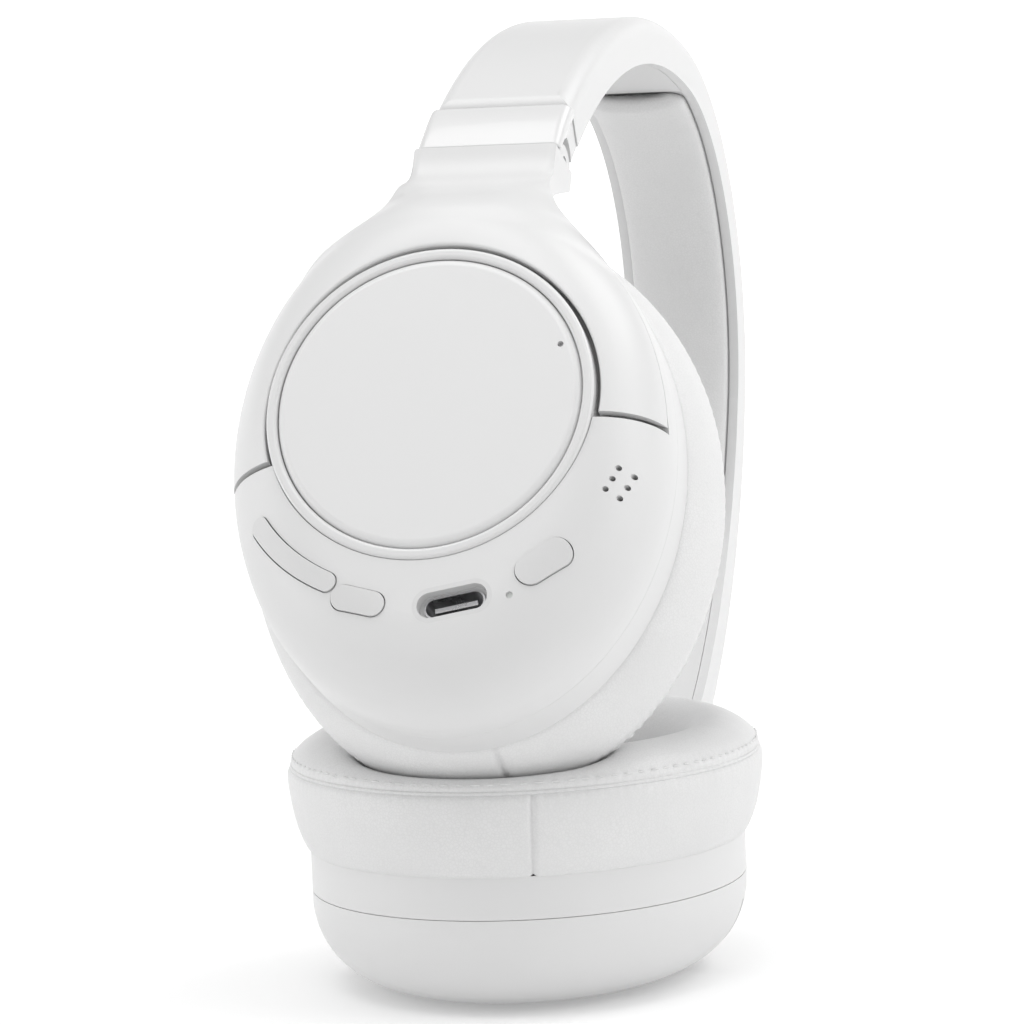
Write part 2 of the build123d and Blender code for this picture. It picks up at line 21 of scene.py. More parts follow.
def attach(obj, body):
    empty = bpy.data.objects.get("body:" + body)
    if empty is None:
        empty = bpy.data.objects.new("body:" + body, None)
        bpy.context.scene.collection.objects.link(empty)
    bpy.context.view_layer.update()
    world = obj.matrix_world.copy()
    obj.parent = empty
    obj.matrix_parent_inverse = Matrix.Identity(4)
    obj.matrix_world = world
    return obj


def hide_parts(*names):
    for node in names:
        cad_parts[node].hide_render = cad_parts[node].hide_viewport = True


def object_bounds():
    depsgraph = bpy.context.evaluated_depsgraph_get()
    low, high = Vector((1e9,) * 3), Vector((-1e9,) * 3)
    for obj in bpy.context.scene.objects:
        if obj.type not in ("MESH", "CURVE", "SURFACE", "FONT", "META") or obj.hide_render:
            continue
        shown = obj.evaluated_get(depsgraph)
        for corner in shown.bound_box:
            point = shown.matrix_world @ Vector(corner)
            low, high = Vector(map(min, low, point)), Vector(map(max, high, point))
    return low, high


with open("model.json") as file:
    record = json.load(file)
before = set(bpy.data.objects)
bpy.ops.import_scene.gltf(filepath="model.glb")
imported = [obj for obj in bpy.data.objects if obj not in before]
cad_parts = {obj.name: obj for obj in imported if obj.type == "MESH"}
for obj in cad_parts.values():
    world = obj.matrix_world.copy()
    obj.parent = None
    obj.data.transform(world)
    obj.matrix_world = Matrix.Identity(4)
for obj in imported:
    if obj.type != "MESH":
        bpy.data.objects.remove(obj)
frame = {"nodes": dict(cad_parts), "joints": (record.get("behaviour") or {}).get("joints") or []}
cad_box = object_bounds()

MM = 0.001

# sizes that the CAD part has, in millimetres and degrees
BAND_LEAN = 62.5
RIGHT_LEAN = 27.7
PIN_UP = 46.6
PIN_IN = 19.2
PIN_DEPTH = 4.9
PIN_ALONG = 9.7
TOP_R = 49.0
TOP_TURN = 46.0
LEG_R = 102.0
LEG_END = 93.0
BLOCK_R = 50.0
BLOCK_END = 170.0
BAND_END_W = 23.0
BAND_TOP_W = 19.6
BAND_REACH = 80.0           # the band has its end width this far from its middle
BAND_T = 7.6
PAD_FROM = -38.0
PAD_TO = 68.0
PAD_T = 2.6
PAD_INSET = 1.8
CUP_LONG = 41.5
CUP_WIDE = 32.6
CUP_DROP = 4.0
CUP_TURN = 8.0
CUP_ROUND = 13.0
CUP_FACE = 0.5
CUP_DEPTH = 20.9
EAR_LONG = 27.0
EAR_WIDE = 21.1

# the camera, in metres and degrees
CAMERA_AT = (-0.6487, -0.1862, 0.1203)
CAMERA_TURN = 16.12         # heading of the view, from +X towards +Y
CAMERA_DOWN = 4.31
CAMERA_ROLL = -2.19
CAMERA_LENS = 157.3
CAMERA_SENSOR = 36.0


# ---------------------------------------------------------------- frames

def placement(origin, x_axis, z_axis):
    """The matrix of a frame with this origin, in metres, and these two axes."""
    y_axis = z_axis.cross(x_axis)
    place = Matrix((x_axis, y_axis, z_axis)).transposed().to_4x4()
    place.translation = origin
    return place


def joint_point(name):
    """Where a joint's axis is, in metres."""
    return Vector([j for j in frame["joints"] if j["name"] == name][0]["pos_m"])


def right_cup_place():
    """The right cup's frame: leaned outward about its fold hinge."""
    lean = radians(RIGHT_LEAN)
    up = Vector((sin(lean), 0, cos(lean)))
    inward = Vector((cos(lean), 0, -sin(lean)))
    pin = joint_point("right_fold")
    return placement(pin - (up * PIN_UP + inward * PIN_IN) * MM, up, inward)


def band_point(s, depth):
    """A point s along the band's outer face and depth below it, in the band's frame."""
    side = 1 if s >= 0 else -1
    s = abs(s)
    centre = Vector((0, -TOP_R))
    arcs = [(TOP_R, 0.0, TOP_TURN), (LEG_R, TOP_TURN, LEG_END), (BLOCK_R, LEG_END, BLOCK_END)]
    for radius, start, end in arcs:
        length = radius * radians(end - start)
        if s <= length:
            break
        s -= length
        following = LEG_R if radius == TOP_R else BLOCK_R
        centre = centre + Vector((sin(radians(end)), cos(radians(end)))) * (radius - following)
    heading = radians(start) + s / radius
    point = centre + Vector((sin(heading), cos(heading))) * (radius - depth)
    return Vector((side * point.x, point.y))


def leg_end_s():
    """Length along the band from the middle to where the arm slides out."""
    return TOP_R * radians(TOP_TURN) + LEG_R * radians(LEG_END - TOP_TURN)


def band_place():
    """The band's frame: x and y in the plane of its arch, z across it."""
    lean = radians(BAND_LEAN)
    along = Vector((cos(lean), 0, -sin(lean)))
    out = Vector((sin(lean), 0, cos(lean)))
    pin = band_point(leg_end_s() + PIN_ALONG, PIN_DEPTH)
    origin = joint_point("left_fold") - (along * pin.x + out * pin.y) * MM
    return placement(origin, along, Vector((0, -1, 0)))


CUPS = {"left": (1, Matrix.Identity(4)), "right": (-1, right_cup_place())}


# ---------------------------------------------------------------- finishes

def start_material(name):
    """An emptied material with a Principled shader."""
    mat = bpy.data.materials.get(name) or bpy.data.materials.new(name)
    mat.use_nodes = True
    tree = mat.node_tree
    tree.nodes.clear()
    output = tree.nodes.new("ShaderNodeOutputMaterial")
    shader = tree.nodes.new("ShaderNodeBsdfPrincipled")
    tree.links.new(shader.outputs["BSDF"], output.inputs["Surface"])
    return mat, tree, shader


def place_coordinates(tree, stretch=(1, 1, 1)):
    """Coordinates fixed to the piece, in metres, stretched along each axis."""
    source = tree.nodes.new("ShaderNodeTexCoord")
    mapping = tree.nodes.new("ShaderNodeMapping")
    mapping.inputs["Scale"].default_value = stretch
    tree.links.new(source.outputs["Object"], mapping.inputs["Vector"])
    return mapping.outputs["Vector"]


def noise(tree, where, size_mm, detail=3.0, rough=0.55):
    """Soft noise with features of about this size."""
    node = tree.nodes.new("ShaderNodeTexNoise")
    node.inputs["Scale"].default_value = 1.0 / (size_mm * MM)
    node.inputs["Detail"].default_value = detail
    node.inputs["Roughness"].default_value = rough
    tree.links.new(where, node.inputs["Vector"])
    return node.outputs["Fac"]


def cells(tree, where, size_mm):
    """A pattern of small cells, such as leather's pebbles: how far a spot is from an edge."""
    node = tree.nodes.new("ShaderNodeTexVoronoi")
    node.feature = "DISTANCE_TO_EDGE"
    node.inputs["Scale"].default_value = 1.0 / (size_mm * MM)
    tree.links.new(where, node.inputs["Vector"])
    return node.outputs["Distance"]


def spread(tree, value, low, high, source=(0.3, 0.7)):
    """Turn a value, over its source range, into the range from low to high."""
    node = tree.nodes.new("ShaderNodeMapRange")
    node.inputs["From Min"].default_value = source[0]
    node.inputs["From Max"].default_value = source[1]
    node.inputs["To Min"].default_value = low
    node.inputs["To Max"].default_value = high
    tree.links.new(value, node.inputs["Value"])
    return node.outputs["Result"]


def two_tones(tree, value, dark, light):
    """Run between two colours with a value."""
    node = tree.nodes.new("ShaderNodeMix")
    node.data_type = "RGBA"
    node.inputs["A"].default_value = (*dark, 1)
    node.inputs["B"].default_value = (*light, 1)
    tree.links.new(value, node.inputs["Factor"])
    return node.outputs["Result"]


def relief(tree, height, depth_mm, under=None):
    """Bumps of this depth, on top of other bumps if there are any."""
    node = tree.nodes.new("ShaderNodeBump")
    node.inputs["Distance"].default_value = depth_mm * MM
    node.inputs["Strength"].default_value = 1.0
    tree.links.new(height, node.inputs["Height"])
    if under is not None:
        tree.links.new(under, node.inputs["Normal"])
    return node.outputs["Normal"]


def tone(colour, factor):
    """A colour made lighter or darker."""
    return tuple(min(1.0, c * factor) for c in colour)


def moulded(name, colour, rough, grain_mm, depth_mm, vary=0.015, coat=0.0, metallic=0.0):
    """Moulded or painted material: fine grain, faint mottling, uneven gloss."""
    mat, tree, shader = start_material(name)
    where = place_coordinates(tree)
    mottle = noise(tree, where, 16.0, 1.0)
    colours = two_tones(tree, mottle, tone(colour, 1 - vary), tone(colour, 1 + vary / 2))
    tree.links.new(colours, shader.inputs["Base Color"])
    handling = noise(tree, where, 5.0, 5.0)
    gloss = spread(tree, handling, rough * 0.93, rough * 1.08, (0, 1))
    tree.links.new(gloss, shader.inputs["Roughness"])
    grain = noise(tree, where, grain_mm, 2.0)
    waves = relief(tree, noise(tree, where, 9.0, 1.0), 0.001)
    tree.links.new(relief(tree, grain, depth_mm, waves), shader.inputs["Normal"])
    shader.inputs["Metallic"].default_value = metallic
    shader.inputs["Coat Weight"].default_value = coat
    shader.inputs["Coat Roughness"].default_value = 0.05
    return mat


def leatherette(name, colour, rough, pebble_mm, depth_mm, crease_mm):
    """Soft coated fabric with pebbles, creases between them, and long fine wrinkles; the colour is
    made darker in the creases as painted shade.
    """
    mat, tree, shader = start_material(name)
    where = place_coordinates(tree)
    pebbles = cells(tree, where, pebble_mm)
    creases = spread(tree, pebbles, 0, 1, (0.0, 0.16))
    mottle = spread(tree, noise(tree, where, 12.0), 0, 1)
    base = two_tones(tree, mottle, tone(colour, 0.965), tone(colour, 1.015))
    # painted shade: the colour drops to 0.94 of the base in the creases between the pebbles
    shade = tree.nodes.new("ShaderNodeMix")
    shade.data_type = "RGBA"
    shade.inputs["A"].default_value = (*tone(colour, 0.94), 1)
    tree.links.new(creases, shade.inputs["Factor"])
    tree.links.new(base, shade.inputs["B"])
    tree.links.new(shade.outputs["Result"], shader.inputs["Base Color"])
    gloss = spread(tree, noise(tree, where, 3.0, 4.0), rough * 0.88, rough * 1.12)
    tree.links.new(gloss, shader.inputs["Roughness"])
    wrinkles = relief(tree, noise(tree, where, crease_mm, 4.0, 0.6), 0.16)
    tree.links.new(relief(tree, creases, depth_mm, wrinkles), shader.inputs["Normal"])
    shader.inputs["Sheen Weight"].default_value = 0.08
    return mat


def brushed(name, colour, rough):
    """Steel with a fine lengthwise brush."""
    mat, tree, shader = start_material(name)
    lines = place_coordinates(tree, (1, 30, 1))
    plain = place_coordinates(tree)
    streaks = noise(tree, lines, 3.0, 4.0, 0.7)
    tones = two_tones(tree, spread(tree, streaks, 0, 1), tone(colour, 0.86), tone(colour, 1.05))
    tree.links.new(tones, shader.inputs["Base Color"])
    smears = noise(tree, plain, 4.0)
    tree.links.new(spread(tree, smears, rough * 0.8, rough * 1.25), shader.inputs["Roughness"])
    tree.links.new(relief(tree, streaks, 0.004), shader.inputs["Normal"])
    shader.inputs["Metallic"].default_value = 1.0
    return mat


WAVE_REPEAT = 0.314         # a wave texture of scale 1 repeats after this length


def woven(name, colour, pitch_mm):
    """A knitted mesh: two sets of crossing threads with open holes, the holes given as painted
    shade, darker than the threads.
    """
    mat, tree, shader = start_material(name)
    heights = []
    for turn in (45, -45):
        source = tree.nodes.new("ShaderNodeTexCoord")
        mapping = tree.nodes.new("ShaderNodeMapping")
        mapping.inputs["Rotation"].default_value = (0, 0, radians(turn))
        tree.links.new(source.outputs["Object"], mapping.inputs["Vector"])
        wave = tree.nodes.new("ShaderNodeTexWave")
        wave.inputs["Scale"].default_value = WAVE_REPEAT / (pitch_mm * MM)
        wave.inputs["Distortion"].default_value = 0.6
        tree.links.new(mapping.outputs["Vector"], wave.inputs["Vector"])
        heights.append(wave.outputs["Fac"])
    join = tree.nodes.new("ShaderNodeMath")
    join.operation = "MAXIMUM"
    tree.links.new(heights[0], join.inputs[0])
    tree.links.new(heights[1], join.inputs[1])
    # painted shade: the colour runs from dark in the holes between the threads to lighter on the
    # thread crests
    tones = two_tones(tree, join.outputs["Value"], tone(colour, 0.45), tone(colour, 1.15))
    tree.links.new(tones, shader.inputs["Base Color"])
    fuzz = noise(tree, place_coordinates(tree), 0.6)
    tree.links.new(spread(tree, fuzz, 0.75, 0.95), shader.inputs["Roughness"])
    tree.links.new(relief(tree, join.outputs["Value"], 0.12), shader.inputs["Normal"])
    shader.inputs["Sheen Weight"].default_value = 0.3
    return mat


WHITE = (0.66, 0.66, 0.66)

FINISHES = {
    "white_shell": moulded("white_shell", WHITE, 0.36, 0.22, 0.006),
    "white_cap": moulded("white_cap", (0.68, 0.68, 0.68), 0.30, 0.3, 0.0006, 0.004),
    "white_gloss": moulded("white_gloss", WHITE, 0.24, 0.5, 0.001, 0.01, 0.25),
    "white_key": moulded("white_key", (0.62, 0.62, 0.62), 0.45, 0.25, 0.008),
    "cushion_leather": leatherette("cushion_leather", (0.69, 0.69, 0.69), 0.46, 0.5, 0.014, 6.0),
    "pad_leather": leatherette("pad_leather", (0.64, 0.64, 0.64), 0.52, 0.45, 0.012, 8.0),
    "grey_plastic": moulded("grey_plastic", (0.62, 0.62, 0.62), 0.5, 0.3, 0.01, 0.04),
    "steel": brushed("steel", (0.62, 0.62, 0.63), 0.3),
    "black_metal": moulded("black_metal", (0.38, 0.38, 0.39), 0.45, 0.2, 0.01, 0.2, 0.0, 0.4),
    "grille_fabric": woven("grille_fabric", (0.30, 0.30, 0.31), 0.55),
    "board_green": moulded("board_green", (0.03, 0.17, 0.07), 0.35, 0.4, 0.01, 0.15, 0.4),
    "battery_wrap": moulded("battery_wrap", (0.55, 0.56, 0.58), 0.3, 1.2, 0.03, 0.05, 0.0, 0.7),
    "lamp": moulded("lamp", (0.66, 0.68, 0.66), 0.2, 0.4, 0.002, 0.02, 0.6),
}


def finish_cad_nodes():
    """Every CAD node keeps its slot and gets that slot's finish."""
    for piece in frame["nodes"].values():
        for spot in piece.material_slots:
            spot.material = FINISHES[spot.material.name]


# ---------------------------------------------------------------- meshes

def grid_piece(name, points, slot, close_rows=True):
    """A mesh from a grid of points in the row frame, in metres.  Its columns form closed loops."""
    rows, columns = points.shape[:2]
    mesh = bpy.data.meshes.new(name)
    last_row = rows if close_rows else rows - 1
    faces = []
    for r in range(last_row):
        here = r * columns
        below = (r + 1) % rows * columns
        for c in range(columns):
            beside = (c + 1) % columns
            faces.append((here + c, here + beside, below + beside, below + c))
    mesh.from_pydata(points.reshape(-1, 3).tolist(), [], faces)
    mesh.update()
    return show(name, mesh, slot)


def show(name, mesh, slot):
    """Put a mesh in the scene with outward faces, smooth shading and its slot's finish."""
    shape = bmesh.new()
    shape.from_mesh(mesh)
    bmesh.ops.recalc_face_normals(shape, faces=shape.faces)
    shape.to_mesh(mesh)
    shape.free()
    for face in mesh.polygons:
        face.use_smooth = True
    mesh.materials.append(FINISHES[slot])
    piece = bpy.data.objects.new(name, mesh)
    bpy.context.scene.collection.objects.link(piece)
    return piece


def fan_mesh(name, centre, rings):
    """A mesh of closed rings of points round a centre point."""
    shape = bmesh.new()
    middle = shape.verts.new(centre)
    loops = [[shape.verts.new(point) for point in ring] for ring in rings]
    around = len(loops[0])
    for k in range(around):
        shape.faces.new((middle, loops[0][k], loops[0][(k + 1) % around]))
    for one, two in zip(loops, loops[1:]):
        for k in range(around):
            beside = (k + 1) % around
            shape.faces.new((one[k], two[k], two[beside], one[beside]))
    mesh = bpy.data.meshes.new(name)
    shape.to_mesh(mesh)
    shape.free()
    return mesh


def eased(share):
    """A 0 to 1 share with a soft start and a soft end."""
    return share * share * (3 - 2 * share)


def smooth_line(points, count):
    """A smooth line through a few points: Catmull-Rom, spaced evenly."""
    knots = np.array(points, float)
    padded = np.vstack([2 * knots[0] - knots[1], knots, 2 * knots[-1] - knots[-2]])
    line = []
    for i in range(1, len(padded) - 2):
        a, b, c, d = padded[i - 1:i + 3]
        for t in np.linspace(0, 1, 40, endpoint=False):
            line.append(0.5 * (2 * b + (c - a) * t + (2 * a - 5 * b + 4 * c - d) * t ** 2
                               + (3 * b - a - 3 * c + d) * t ** 3))
    line = np.array(line + [knots[-1]])
    lengths = np.concatenate([[0], np.cumsum(np.linalg.norm(np.diff(line, axis=0), axis=1))])
    even = np.linspace(0, lengths[-1], count)
    return np.column_stack([np.interp(even, lengths, line[:, k]) for k in range(line.shape[1])])


def to_row(place, points):
    """Millimetres in a frame to metres in the row frame."""
    turn = np.array(place.to_3x3())
    return points * MM @ turn.T + np.array(place.translation)


def from_row(place, points):
    """Metres in the row frame to millimetres in a frame."""
    turn = np.array(place.to_3x3())
    return (points - np.array(place.translation)) @ turn / MM


# ---------------------------------------------------------------- the ear cushions

# the skin's section: how far out of the cup's oval, and the depth
OUTER_WALL = [(-0.9, 20.9), (0.0, 20.75), (0.9, 22.0), (2.0, 25.0), (2.7, 28.5), (3.0, 31.5),
              (2.75, 33.4)]
CROWN = [(2.75, 33.4), (2.0, 35.0), (0.2, 36.6), (-2.6, 37.7), (-6.0, 37.9), (-9.4, 36.6),
         (-12.2, 33.6), (-13.9, 29.4), (-14.2, 25.0), (-13.8, 22.6), (-12.5, 21.8), (-7.0, 21.8),
         (-0.9, 20.9)]
WALL_STEPS = 40
CROWN_STEPS = 88
ROUND_STEPS = 560
CONTACT_Z = 34.2            # height at which the two cushions press on each other
CONTACT_OVER = 0.3          # the left cushion gives way this far below that height
PRESS_REACH = 7.0
PRESS_STEP = 0.1
PRESS_ROOM = 0.25           # clear space left between the two cushions
PRESS_SPREAD = 60           # rounds of blurring that spread the dent
SOFT_FROM = 24.0            # the skin only gives way above this z of the cup's frame
SEAM_WIDTH = 0.45
SEAM_DEPTH = 0.5
WALL_SEAMS = {"left": (191.0, 11.0), "right": (176.0, 356.0)}   # degrees round the cup
GATHERS = 150               # small gathers round the rim's seam
GATHER_WIDTH = 2.2
GATHER_DEPTH = 0.06
PIPING_R = 0.34
PIPING_AROUND = 10
STITCH_OFFSET = 3           # columns of the skin between the seam and the stitches
STITCH_PITCH = 2.3
STITCH_LONG = 1.5
STITCH_THICK = 0.34
STITCH_AROUND = 6


def out_of_oval(side, x, y):
    """A place in the oval's own axes to the cup's frame: turned, and dropped below the arm."""
    turn = side * radians(CUP_TURN)
    return (x * cos(turn) - y * sin(turn) - CUP_DROP * cos(turn),
            x * sin(turn) + y * cos(turn) - CUP_DROP * sin(turn))


def oval_points(side, angles, grow):
    """Points round the cup's oval, in the cup's frame."""
    narrower = (CUP_WIDE - EAR_WIDE) / (CUP_LONG - EAR_LONG)
    x = (CUP_LONG + grow) * np.cos(angles)
    y = (CUP_WIDE + (grow if grow > 0 else grow * narrower)) * np.sin(angles)
    return out_of_oval(side, x, y)


def oval_distance(side, points):
    """How far points are outside the cup's oval, roughly, in its frame."""
    turn = side * radians(CUP_TURN)
    x = points[:, 0] * cos(turn) + points[:, 1] * sin(turn) + CUP_DROP
    y = -points[:, 0] * sin(turn) + points[:, 1] * cos(turn)
    k0 = np.hypot(x / CUP_LONG, y / CUP_WIDE)
    k1 = np.hypot(x / CUP_LONG ** 2, y / CUP_WIDE ** 2)
    return k0 * (k0 - 1) / np.maximum(k1, 1e-9)


def cup_reach(z):
    """How far the whole cup, with its cushion, stands out of the oval at a depth."""
    wall = np.array(OUTER_WALL[1:] + CROWN[1:5])
    reach = np.interp(z, wall[:, 1], wall[:, 0])
    low = np.clip((z - CUP_FACE) / CUP_ROUND, 0, 1)
    dome = -CUP_ROUND * (1 - np.sqrt(1 - (1 - low) ** 2))
    reach = np.where(z < wall[0, 1], dome, reach)
    return np.where((z < CUP_FACE) | (z > wall[-1, 1]), -99, reach)


def inside_right_cup(points_row):
    """How deep points in the row frame are inside the right cup, in millimetres."""
    side, place = CUPS["right"]
    local = from_row(place, points_row)
    deep = cup_reach(local[:, 2]) - oval_distance(side, local)
    return np.minimum(deep, points_row[:, 2] / MM - CONTACT_Z + CONTACT_OVER)


def cushion_grid(side, wall_steps, crown_steps, round_steps):
    """The cushion's skin as a grid of rows round the cup, in the cup's frame."""
    wall = smooth_line(OUTER_WALL, wall_steps)
    crown = smooth_line(CROWN, crown_steps)
    section = np.vstack([wall[:-1], crown[:-1]])
    angles = np.linspace(0, 2 * pi, round_steps, endpoint=False)
    grid = np.zeros((round_steps, len(section), 3))
    for column, (grow, z) in enumerate(section):
        grid[:, column, 0], grid[:, column, 1] = oval_points(side, angles, grow)
        grid[:, column, 2] = z
    return grid, angles


def outward_normals(grid):
    """Unit normals of a closed grid, pointing out of the cushion."""
    round_way = np.roll(grid, -1, 0) - np.roll(grid, 1, 0)
    section_way = np.roll(grid, -1, 1) - np.roll(grid, 1, 1)
    normals = np.cross(round_way, section_way)
    normals /= np.maximum(np.linalg.norm(normals, axis=2, keepdims=True), 1e-9)
    middle = grid.mean(axis=1, keepdims=True)
    if np.sum(normals * (grid - middle)) < 0:
        normals = -normals
    return normals


def angle_gap(angles, at):
    """Degrees round the cup between each row and a place."""
    return (np.degrees(angles) - at + 180) % 360 - 180


def pressed(points_row, direction):
    """How far points must move along a direction to lie clear of the right cup."""
    push = np.zeros(len(points_row))
    for _ in range(int(PRESS_REACH / PRESS_STEP)):
        deep = inside_right_cup(points_row + np.outer(push, direction) * MM) > -PRESS_ROOM
        if not deep.any():
            break
        push[deep] += PRESS_STEP
    return push


def blurred(field, rounds):
    """Spread a field over its neighbours on a closed grid."""
    for _ in range(rounds):
        field = (field + np.roll(field, 1, 0) + np.roll(field, -1, 0)
                 + np.roll(field, 1, 1) + np.roll(field, -1, 1)) / 5
    return field


def flattened(points_row):
    """The right cushion, pressed flat where it stands on the left one."""
    points_row[:, 2] = np.maximum(points_row[:, 2], CONTACT_Z * MM)
    return points_row


def dented(points_row, grid):
    """The left cushion, pushed down where the right one rests on it."""
    down = np.array([0.0, 0.0, -1.0])
    push = pressed(points_row, down).reshape(grid.shape[:2])
    push = np.maximum(push, blurred(push, PRESS_SPREAD)) * (grid[..., 2] > SOFT_FROM)
    return points_row + np.outer(push.reshape(-1), down) * MM


def seam_shape(name, grid, angles, rim):
    """How far each point stands out: grooves at the seams, gathers beside the rim's seam."""
    section = np.linalg.norm(np.diff(np.vstack([grid[0], grid[0][:1]]), axis=0), axis=1)
    along = np.concatenate([[0], np.cumsum(section)[:-1]])
    from_rim = along - along[rim]
    groove = np.exp(-(from_rim / SEAM_WIDTH) ** 2)[None, :] * np.ones((ROUND_STEPS, 1))
    on_wall = 1 / (1 + np.exp((np.arange(grid.shape[1]) - rim) * 1.5))
    for at in WALL_SEAMS[name]:
        away = angle_gap(angles, at) * radians(1) * CUP_LONG
        groove += np.exp(-(away / SEAM_WIDTH) ** 2)[:, None] * on_wall[None, :]
    gather = np.sin(angles * GATHERS)[:, None] * np.exp(-(from_rim / GATHER_WIDTH) ** 2)[None, :]
    return GATHER_DEPTH * gather - SEAM_DEPTH * np.minimum(groove, 1.1)


def ear_cushion(name):
    """One ear cushion: crowned, with grooves at its seams, and pressed where the cups meet."""
    side, place = CUPS[name]
    grid, angles = cushion_grid(side, WALL_STEPS, CROWN_STEPS, ROUND_STEPS)
    rim = WALL_STEPS - 1
    normals = outward_normals(grid)
    grid = grid + normals * seam_shape(name, grid, angles, rim)[..., None]
    row_points = to_row(place, grid.reshape(-1, 3))
    row_points = flattened(row_points) if name == "right" else dented(row_points, grid)
    row_grid = row_points.reshape(grid.shape)
    piece = grid_piece(f"{name}_ear_cushion", row_grid, "cushion_leather")
    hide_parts(f"{name}_cushion", f"{name}_cushion_ring")
    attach(piece, f"{name}_cup")
    return row_grid, normals, rim


def stitches(name, body, centres, directions, outs, slot):
    """A row of sewn stitches, each a small thread lying along the seam."""
    shape = bmesh.new()
    around = STITCH_AROUND
    for centre, direction, out in zip(centres, directions, outs):
        across = np.cross(direction, out)
        rings = []
        for t in (-1.0, -0.8, -0.35, 0.0, 0.35, 0.8, 1.0):
            width = STITCH_THICK / 2 * (1 - abs(t) ** 3 * 0.75)
            proud = STITCH_THICK * 0.35 * (1 - t * t) - 0.05
            middle = centre + (direction * t * STITCH_LONG / 2 + out * proud) * MM
            ring = []
            for k in range(around):
                a = 2 * pi * k / around
                ring.append(shape.verts.new(middle + (across * cos(a) + out * sin(a)) * width * MM))
            rings.append(ring)
        for one, two in zip(rings, rings[1:]):
            for k in range(around):
                shape.faces.new((one[k], one[(k + 1) % around], two[(k + 1) % around], two[k]))
        shape.faces.new(rings[0])
        shape.faces.new(rings[-1])
    mesh = bpy.data.meshes.new(name)
    shape.to_mesh(mesh)
    shape.free()
    piece = show(name, mesh, slot)
    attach(piece, body)
    return piece


def tube(name, body, line, radius, slot):
    """A thin cord along a closed line of points, in metres."""
    count = len(line)
    ahead = np.roll(line, -1, 0) - np.roll(line, 1, 0)
    ahead /= np.linalg.norm(ahead, axis=1, keepdims=True)
    lift = line - line.mean(axis=0)
    one = np.cross(ahead, lift)
    one /= np.linalg.norm(one, axis=1, keepdims=True)
    two = np.cross(ahead, one)
    around = PIPING_AROUND
    rings = np.zeros((count, around, 3))
    for k in range(around):
        a = 2 * pi * k / around
        rings[:, k] = line + (one * cos(a) + two * sin(a)) * radius * MM
    piece = grid_piece(name, rings, slot)
    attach(piece, body)
    return piece


def cushion_sewing(name, grid, normals, rim):
    """The piping cord and the row of stitches along the cushion's rim."""
    turn = np.array(CUPS[name][1].to_3x3())
    outs = normals @ turn.T
    piping = grid[:, rim] + outs[:, rim] * 0.02 * MM
    tube(f"{name}_cushion_piping", f"{name}_cup", piping, PIPING_R, "cushion_leather")
    line = grid[:, rim + STITCH_OFFSET]
    gaps = np.linalg.norm(np.roll(line, -1, 0) - line, axis=1)
    length = np.concatenate([[0], np.cumsum(gaps)])
    count = int(length[-1] / (STITCH_PITCH * MM))
    at = np.arange(count) * length[-1] / count
    index = np.searchsorted(length, at, side="right") - 1
    centres = line[index]
    ahead = np.roll(line, -1, 0)[index] - line[index]
    ahead /= np.linalg.norm(ahead, axis=1, keepdims=True)
    stitches(f"{name}_cushion_stitches", f"{name}_cup", centres, ahead,
             outs[index, rim + STITCH_OFFSET], "cushion_leather")


# ---------------------------------------------------------------- the speaker cloths

CLOTH_HEM = 0.4             # the cloth reaches this far past the ear opening
CLOTH_UP = 1.15             # above the cup's inner face
CLOTH_BULGE = 0.5


def speaker_cloth(name):
    """The thin cloth stretched over the speaker, inside the ear opening."""
    side, place = CUPS[name]
    rings, around = 14, 96
    angles = np.linspace(0, 2 * pi, around, endpoint=False)
    grid = np.zeros((rings + 1, around, 3))
    long, wide = EAR_LONG + CLOTH_HEM, EAR_WIDE + CLOTH_HEM
    for ring in range(rings + 1):
        share = ring / rings
        x = long * share * np.cos(angles)
        y = wide * share * np.sin(angles)
        grid[ring, :, 0], grid[ring, :, 1] = out_of_oval(side, x, y)
        grid[ring, :, 2] = CUP_DEPTH + CLOTH_UP + CLOTH_BULGE * (1 - share ** 2)
    points = to_row(place, grid.reshape(-1, 3)).reshape(grid.shape)
    mesh = fan_mesh(f"{name}_speaker_cloth", points[0, 0], points[1:])
    piece = show(f"{name}_speaker_cloth", mesh, "grille_fabric")
    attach(piece, f"{name}_cup")


# ---------------------------------------------------------------- the yoke covers

CAP_HOLE_R = 24.72
YOKE_DEPTH = 10.05
YOKE_END = -5.0
YOKE_RIM = 0.42             # the cover's rim is this far inside the oval
NECK_HALF = 10.95
EDGE_ROUND = 1.3            # the neck and the hinge plate have the same rounded edges
NECK_TOP = 47.35
NECK_LINE = [(12.0, 20.0), (20.0, 13.0), (25.0, 8.0), (28.5, 4.9), (31.0, 3.6), (33.0, 3.8),
             (35.4, 5.3), (38.0, 8.1), (40.6, 11.1), (43.0, 13.2), (45.0, 14.5), (47.4, 14.65)]
NECK_FROM = 37.5            # the dome's rules change into the neck's from here
NECK_BLEND = 5.5
NECK_FLARE_FROM = 40.0      # below this the neck widens towards the oval
NECK_FLARE = 0.35
NECK_FLAT_SHARE = 0.3       # flat part of the neck's width where it flares
NECK_SOFT = 2.4             # softness of the change between the dome and the neck
NECK_WALL = 12.5            # how much deeper the side walls are on the neck
NECK_WALL_FROM = 37.0
NECK_WALL_BLEND = 7.0
FILLET = 9.0                # softness of the hollow corners beside the neck
COVER_PROUD = 0.07          # the cover stands this far out of the CAD dome
COVER_ROWS = 420
COVER_COLUMNS = 64
COVER_T = 1.5
COVER_MIDDLE = (22.0, 0.0)  # the rays that find the cover's outline start here
RAY_LENGTHS = (2.0, 70.0)
CAP_BEVEL = 0.45            # rounding of the edge beside the cap
BARREL_R = 3.4
BARREL_FROM = 5.3
BARREL_TO = 10.7
